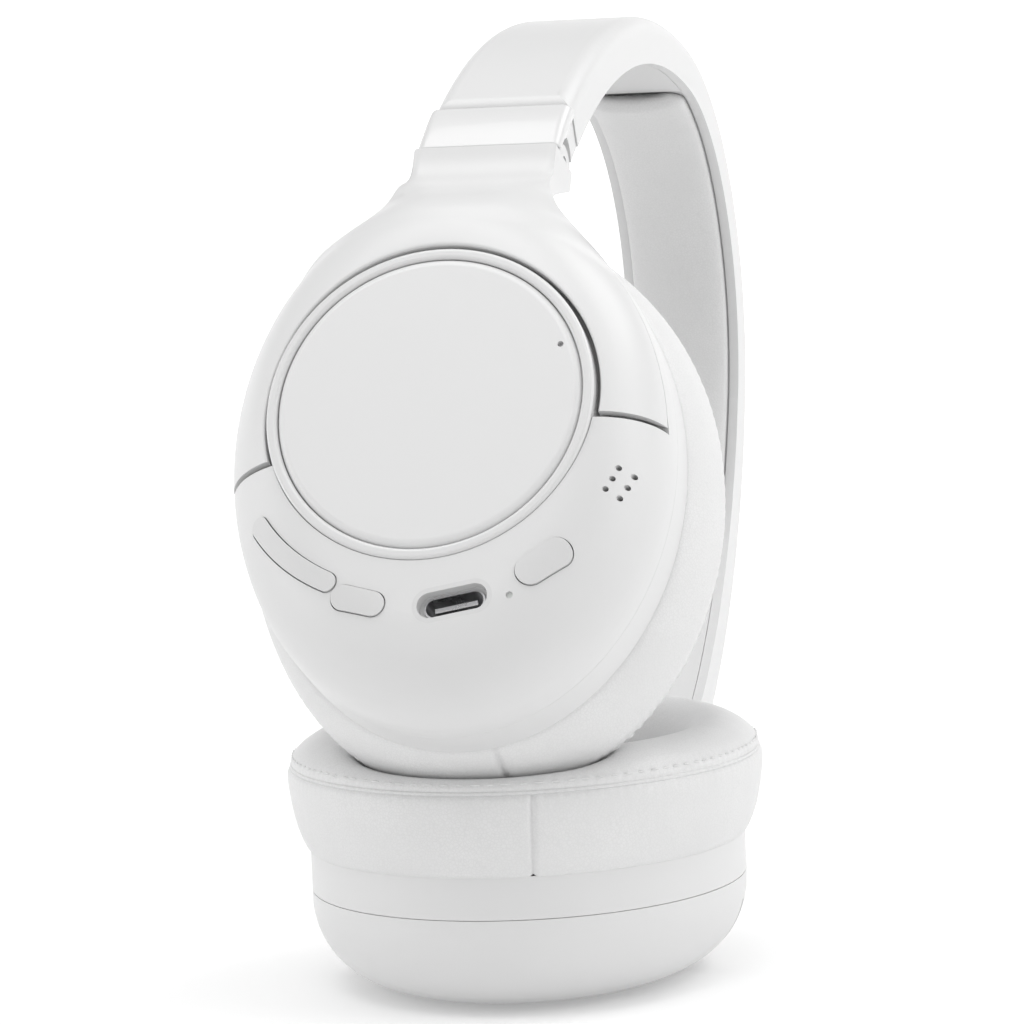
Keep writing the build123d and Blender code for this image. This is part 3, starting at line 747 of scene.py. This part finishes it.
PIN_BORE = 1.45


def smooth_min(a, b, reach):
    """The smaller of two values, with a soft change-over."""
    near = np.maximum(reach - np.abs(a - b), 0) / reach
    return np.minimum(a, b) - near * near * reach / 4


def flat_oval_distance(side, x, y):
    """How far spots are outside the cup's oval, for grids of x and y."""
    points = np.stack([np.ravel(x), np.ravel(y), np.zeros(np.size(x))], axis=1)
    return oval_distance(side, points).reshape(np.shape(x))


def cover_outline(side, x, y):
    """How far a spot is outside the cover's outline: the oval and the neck, with hollow fillets."""
    return smooth_min(flat_oval_distance(side, x, y) + YOKE_RIM, np.abs(y) - NECK_HALF, FILLET)


def cover_height(side, x, y):
    """The depth of the cover's outer face: the dome and the neck flowing into each other."""
    rise = np.clip((flat_oval_distance(side, x, y) + CUP_ROUND) / CUP_ROUND, 0, 1)
    dome = CUP_FACE - COVER_PROUD + CUP_ROUND * (1 - np.sqrt(1 - rise ** 2))
    line = smooth_line(NECK_LINE, 200)
    neck = np.interp(x, line[:, 0], line[:, 1])
    on_neck = eased(np.clip((x - NECK_FROM) / NECK_BLEND, 0, 1))
    edge = NECK_HALF + np.maximum(NECK_FLARE_FROM - x, 0) ** 1.5 * NECK_FLARE
    flat = NECK_FLAT_SHARE * edge * (1 - on_neck) + (NECK_HALF - EDGE_ROUND) * on_neck
    target = (YOKE_DEPTH - neck) * (1 - on_neck) + EDGE_ROUND * on_neck
    away = np.maximum(np.abs(y) - flat, 0) / np.maximum(edge - flat, 0.1)
    return smooth_min(dome, neck + np.maximum(target, 0.2) * away ** 2, NECK_SOFT)


def cover_tips(side):
    """The corners of the cover's two ends: inner and outer, on one side and then the other."""
    turn = side * radians(CUP_TURN)
    tips = []
    for sign in (-1, 1):
        inner_y = sign * np.sqrt(CAP_HOLE_R ** 2 - YOKE_END ** 2)
        share = (YOKE_END + CUP_DROP) / (CUP_LONG - YOKE_RIM)
        outer_y = sign * (CUP_WIDE - YOKE_RIM) * np.sqrt(1 - share ** 2)
        for y in (inner_y, outer_y):
            tips.append((YOKE_END * cos(turn) - y * sin(turn), YOKE_END * sin(turn) + y * cos(turn)))
    return tips


def cover_edges(side):
    """Matching points along the cover's inner edge, round the cap, and its outer edge."""
    tips = cover_tips(side)
    middle = np.array(COVER_MIDDLE)
    first, last = (np.array(tips[k]) - middle for k in (1, 3))
    share = np.linspace(0, 1, COVER_ROWS)
    rays = np.arctan2(first[1], first[0]) * (1 - share) + np.arctan2(last[1], last[0]) * share
    low, high = (np.full(COVER_ROWS, length) for length in RAY_LENGTHS)
    for _ in range(50):
        half = (low + high) / 2
        x, y = middle[0] + half * np.cos(rays), half * np.sin(rays)
        outside = (cover_outline(side, x, y) > 0) | (x > NECK_TOP)
        high = np.where(outside, half, high)
        low = np.where(outside, low, half)
    outer = np.column_stack([middle[0] + low * np.cos(rays), low * np.sin(rays)])
    outer[0], outer[-1] = tips[1], tips[3]
    start, end = (np.arctan2(tips[k][1], tips[k][0]) for k in (0, 2))
    angles = start * (1 - share) + end * share
    inner = CAP_HOLE_R * np.column_stack([np.cos(angles), np.sin(angles)])
    return inner, outer


def cover_grid(side):
    """The cover's skin as a grid of closed rows, in the cup's frame: top, walls and underside."""
    inner, outer = cover_edges(side)
    across = (1 - np.cos(np.linspace(0, pi, COVER_COLUMNS))) / 2
    plan = inner[:, None] * (1 - across[None, :, None]) + outer[:, None] * across[None, :, None]
    x, y = plan[..., 0], plan[..., 1]
    top = cover_height(side, x, y)
    from_cap = np.hypot(x, y) - CAP_HOLE_R
    bevel = np.clip(1 - from_cap / CAP_BEVEL, 0, 1)
    top = top + CAP_BEVEL * (1 - np.sqrt(1 - bevel ** 2))
    on_neck = np.clip((x[:, -1] - NECK_WALL_FROM) / NECK_WALL_BLEND, 0, 1)
    rim = np.maximum(YOKE_DEPTH + 0.1 + on_neck * NECK_WALL, top[:, -1] + 0.2)
    drop = np.clip((across - 0.8) / 0.2, 0, 1) ** 2
    under = top + COVER_T + drop[None, :] * (rim - top[:, -1] - COVER_T)[:, None]
    upper = np.dstack([x, y, top])
    lower = np.dstack([x, y, under])[:, ::-1]
    wall_out = [upper[:, -1:] * (1 - t) + lower[:, :1] * t for t in (0.03, 0.2, 0.4, 0.6, 0.8, 0.97)]
    wall_in = [lower[:, -1:] * (1 - t) + upper[:, :1] * t for t in (0.1, 0.5, 0.9)]
    return np.concatenate([upper, *wall_out, lower, *wall_in], axis=1)


def yoke_cover(name):
    """A smooth moulded skin over the yoke and its neck."""
    side, place = CUPS[name]
    grid = cover_grid(side)
    points = to_row(place, grid.reshape(-1, 3)).reshape(grid.shape)
    piece = grid_piece(f"{name}_yoke_cover", points, "white_shell", close_rows=False)
    close_ends(piece.data, *grid.shape[:2])
    barrels = [hinge_barrel(name, place, sign) for sign in (-1, 1)]
    piece = joined([piece, *barrels])
    shade_by_angle(piece, 38)
    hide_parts(f"{name}_yoke")
    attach(piece, f"{name}_yoke_body")


def hinge_barrel(name, place, sign):
    """One of the two barrels at the end of the yoke's neck, with rounded rims and a bore."""
    around = 72
    profile = [(PIN_BORE, BARREL_FROM), (BARREL_R - 0.3, BARREL_FROM), (BARREL_R, BARREL_FROM + 0.3),
               (BARREL_R, BARREL_TO - 0.5), (BARREL_R - 0.15, BARREL_TO - 0.15),
               (BARREL_R - 0.5, BARREL_TO), (PIN_BORE, BARREL_TO)]
    grid = np.zeros((len(profile), around, 3))
    turns = np.linspace(0, 2 * pi, around, endpoint=False)
    for row, (radius, y) in enumerate(profile):
        grid[row, :, 0] = PIN_UP + radius * np.cos(turns)
        grid[row, :, 1] = sign * y
        grid[row, :, 2] = PIN_IN + radius * np.sin(turns)
    points = to_row(place, grid.reshape(-1, 3)).reshape(grid.shape)
    return grid_piece(f"{name}_barrel", points, "white_shell")


def joined(pieces):
    """Move the meshes of all pieces into the first one."""
    shape = bmesh.new()
    for piece in pieces:
        shape.from_mesh(piece.data)
    shape.to_mesh(pieces[0].data)
    shape.free()
    for piece in pieces[1:]:
        bpy.data.objects.remove(piece)
    for face in pieces[0].data.polygons:
        face.use_smooth = True
    return pieces[0]


def shade_by_angle(piece, degrees):
    """Keep a piece's edges crisp where its faces meet at more than this angle."""
    shape = bmesh.new()
    shape.from_mesh(piece.data)
    for edge in shape.edges:
        edge.smooth = edge.calc_face_angle(0.0) < radians(degrees)
    shape.to_mesh(piece.data)
    shape.free()


# ---------------------------------------------------------------- the hinge plates

PLATE_FROM = 0.32           # from the end of the band
PLATE_TO = 10.2
PLATE_T = 1.2
PLATE_LEAST = 0.12          # thickness left where the plate passes over the barrels
PLATE_HALF = 11.1
PLATE_PROUD = 0.1
PLATE_END_ROUND = 0.3
PLATE_SQUARE = 0.22         # power of the section's outline: small is square
BARREL_ROOM = 4.95          # radius kept free round the pin, under the plate


def hinge_plate(name):
    """The glossy plate over the fold hinge, with softly rounded edges."""
    side = CUPS[name][0]
    place = band_place()
    rows, columns = 60, 72
    stations = leg_end_s() + np.linspace(PLATE_FROM, PLATE_TO, rows)
    around = np.linspace(0, 2 * pi, columns, endpoint=False)
    grid = np.zeros((rows, columns, 3))
    pin = leg_end_s() + PIN_ALONG
    for row, s in enumerate(stations):
        from_end = min(s - stations[0], stations[-1] - s)
        near_end = max(PLATE_END_ROUND - from_end, 0)
        soft = PLATE_END_ROUND - np.sqrt(max(PLATE_END_ROUND ** 2 - near_end ** 2, 0))
        reach = BARREL_ROOM ** 2 - (s - pin) ** 2
        under = PIN_DEPTH - np.sqrt(reach) if reach > 0 else PLATE_T
        under = min(PLATE_T, max(under, PLATE_LEAST))
        for column, a in enumerate(around):
            across = (PLATE_HALF - soft) * np.sign(cos(a)) * abs(cos(a)) ** PLATE_SQUARE
            face = np.sign(sin(a)) * abs(sin(a)) ** PLATE_SQUARE
            edge = max(abs(across) - (PLATE_HALF - EDGE_ROUND), 0) / EDGE_ROUND
            rounded = EDGE_ROUND * (1 - np.sqrt(max(1 - edge ** 2, 0)))
            top = soft + rounded - PLATE_PROUD
            low = under + rounded
            depth = (top + low) / 2 - face * (low - top) / 2
            spot = band_point(side * s, depth)
            grid[row, column] = (spot.x, spot.y, across)
    points = to_row(place, grid.reshape(-1, 3)).reshape(grid.shape)
    piece = grid_piece(f"{name}_gloss_plate", points, "white_gloss", close_rows=False)
    close_ends(piece.data, rows, columns)
    shade_by_angle(piece, 50)
    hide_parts(f"{name}_hinge_plate")
    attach(piece, f"{name}_arm")


# ---------------------------------------------------------------- the head pad

PAD_CORNER = 3.4            # radius of the pad's corners, seen from above
PAD_END_ROUND = 1.6
PAD_CROWN = 1.1
PAD_EDGE_T = PAD_T - 0.7
PAD_GAP = 0.06              # between the band and the pad's underside
PAD_SQUARE = 0.42           # power of the section's outline: small is square


def band_half_width(x):
    """Half the band's width at a distance from its middle."""
    rise = (BAND_END_W - BAND_TOP_W) / 2
    radius = (BAND_REACH ** 2 + rise ** 2) / (2 * rise)
    return BAND_TOP_W / 2 + radius - np.sqrt(radius ** 2 - x ** 2)


def head_pad():
    """The soft pad inside the band: crowned, with rounded ends."""
    place = band_place()
    lengths, section = 260, 56
    grid = np.zeros((lengths, section, 3))
    stations = np.linspace(PAD_FROM, PAD_TO, lengths)
    around = np.linspace(0, 2 * pi, section, endpoint=False)
    for row, s in enumerate(stations):
        from_end = min(s - PAD_FROM, PAD_TO - s)
        point = band_point(s, BAND_T)
        half = float(band_half_width(point.x)) - PAD_INSET
        if from_end < PAD_CORNER:
            half -= PAD_CORNER - np.sqrt(max(PAD_CORNER ** 2 - (PAD_CORNER - from_end) ** 2, 0))
        fade = min(1.0, from_end / PAD_END_ROUND)
        fade = np.sqrt(1 - (1 - fade) ** 2)
        across = half * np.sign(np.cos(around)) * np.abs(np.cos(around)) ** PAD_SQUARE
        crown = PAD_CROWN * (1 - (across / max(half, 1e-6)) ** 2)
        rise = np.maximum(np.sin(around), 0) ** PAD_SQUARE * (PAD_EDGE_T + crown) * fade
        for column in range(section):
            inner = band_point(s, BAND_T + PAD_GAP + rise[column])
            grid[row, column] = (inner.x, inner.y, across[column])
    points = to_row(place, grid.reshape(-1, 3)).reshape(grid.shape)
    piece = grid_piece("head_pad", points, "pad_leather", close_rows=False)
    close_ends(piece.data, lengths, section)
    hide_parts("band_pad")
    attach(piece, "headband")


def close_ends(mesh, rows, columns):
    """Close the two ends of a long grid."""
    shape = bmesh.new()
    shape.from_mesh(mesh)
    shape.verts.ensure_lookup_table()
    shape.faces.new([shape.verts[c] for c in range(columns)])
    shape.faces.new([shape.verts[(rows - 1) * columns + c] for c in range(columns)])
    bmesh.ops.recalc_face_normals(shape, faces=shape.faces)
    shape.to_mesh(mesh)
    shape.free()
    for face in mesh.polygons:
        face.use_smooth = True


# ---------------------------------------------------------------- floor, lights and camera

FLOOR_TONES = ((0.79, 0.79, 0.79), (0.81, 0.81, 0.81))
FLOOR_DARK = (0.50, 0.50, 0.50)
FLOOR_FRONT = (-0.30, -0.08)    # the floor is dark in front of these x, out of view
FLOOR_NEAR_GLOW = 0.20
FLOOR_FAR_GLOW = 0.72
FLOOR_GLOW_RANGE = (0.25, 1.6)  # distances between which the floor's glow rises
FLOOR_FLAT_R = 2.2
FLOOR_SWEEP_R = 1.4
FLOOR_BELOW = 0.0002            # a hair under the cups, so that nothing flickers
WORLD_GLOW = 0.40
MIDDLE = Vector((0.03, 0.0, 0.07))


def floor_material():
    """A pale, nearly even floor that glows more and more towards its edge."""
    mat, tree, shader = start_material("studio_floor")
    where = place_coordinates(tree)
    cloud = spread(tree, noise(tree, where, 400.0), 0, 1)
    pale = two_tones(tree, cloud, *FLOOR_TONES)
    parts = tree.nodes.new("ShaderNodeSeparateXYZ")
    tree.links.new(where, parts.inputs["Vector"])
    front = spread(tree, parts.outputs["X"], 0, 1, FLOOR_FRONT)
    shades = two_tones(tree, front, FLOOR_DARK, FLOOR_TONES[1])
    tree.links.new(pale, shades.node.inputs["B"])
    tree.links.new(shades, shader.inputs["Base Color"])
    shader.inputs["Roughness"].default_value = 0.9
    shader.inputs["Emission Color"].default_value = (1, 1, 1, 1)
    away = tree.nodes.new("ShaderNodeVectorMath")
    away.operation = "LENGTH"
    tree.links.new(where, away.inputs[0])
    glow = spread(tree, away.outputs["Value"], FLOOR_NEAR_GLOW, FLOOR_FAR_GLOW, FLOOR_GLOW_RANGE)
    tree.links.new(glow, shader.inputs["Emission Strength"])
    return mat


def studio_floor():
    """The floor, flat under the headphones and swept up far away."""
    profile = [(FLOOR_FLAT_R * k / 6, 0.0) for k in range(1, 7)]
    for a in np.linspace(0.1, 1.5, 12):
        profile.append((FLOOR_FLAT_R + FLOOR_SWEEP_R * sin(a), FLOOR_SWEEP_R * (1 - cos(a))))
    turns = np.linspace(0, 2 * pi, 96, endpoint=False)
    rings = [[(r * cos(a), r * sin(a), z) for a in turns] for r, z in profile]
    mesh = fan_mesh("floor", (0, 0, 0), rings)
    mesh.materials.append(floor_material())
    for face in mesh.polygons:
        face.use_smooth = True
    floor = bpy.data.objects.new("floor", mesh)
    floor.location.z = cad_box[0][2] - FLOOR_BELOW
    bpy.context.scene.collection.objects.link(floor)


def soft_light(name, at, size, watts):
    """A large square lamp that points at the headphones."""
    data = bpy.data.lights.new(name, "AREA")
    data.shape = "RECTANGLE"
    data.size, data.size_y = size
    data.energy = watts
    lamp = bpy.data.objects.new(name, data)
    lamp.location = at
    lamp.rotation_euler = (MIDDLE - Vector(at)).to_track_quat("-Z", "Y").to_euler()
    bpy.context.scene.collection.objects.link(lamp)


def studio_lights():
    """An even white sky and four large lamps."""
    world = bpy.context.scene.world or bpy.data.worlds.new("studio")
    bpy.context.scene.world = world
    world.use_nodes = True
    sky = world.node_tree.nodes["Background"]
    sky.inputs["Color"].default_value = (1, 1, 1, 1)
    sky.inputs["Strength"].default_value = WORLD_GLOW
    soft_light("key_light", (-0.25, 0.15, 1.2), (1.0, 1.0), 8.0)
    soft_light("left_light", (-0.35, 1.1, 0.45), (0.6, 1.1), 2.4)
    soft_light("right_light", (-0.10, -1.0, 0.75), (0.8, 0.9), 3.4)
    soft_light("back_light", (0.45, -0.55, 0.95), (0.6, 0.6), 3.0)


def camera():
    """The camera of the photograph."""
    turn, down, roll = (radians(a) for a in (CAMERA_TURN, CAMERA_DOWN, CAMERA_ROLL))
    ahead = Vector((cos(down) * cos(turn), cos(down) * sin(turn), -sin(down)))
    right = Vector((sin(turn), -cos(turn), 0))
    up = right.cross(ahead)
    rolled_right = right * cos(roll) + up * sin(roll)
    rolled_up = up * cos(roll) - right * sin(roll)
    data = bpy.data.cameras.new("camera")
    data.lens = CAMERA_LENS
    data.sensor_width = CAMERA_SENSOR
    seen = bpy.data.objects.new("camera", data)
    place = Matrix((rolled_right, rolled_up, -ahead)).transposed().to_4x4()
    place.translation = CAMERA_AT
    seen.matrix_world = place
    bpy.context.scene.collection.objects.link(seen)
    bpy.context.scene.camera = seen
    bpy.context.scene.view_settings.view_transform = "Standard"


# ---------------------------------------------------------------- build the scene

finish_cad_nodes()
for cup in CUPS:
    skin_grid, skin_normals, rim_column = ear_cushion(cup)
    cushion_sewing(cup, skin_grid, skin_normals, rim_column)
    speaker_cloth(cup)
    yoke_cover(cup)
    hinge_plate(cup)
head_pad()
studio_floor()
studio_lights()
camera()
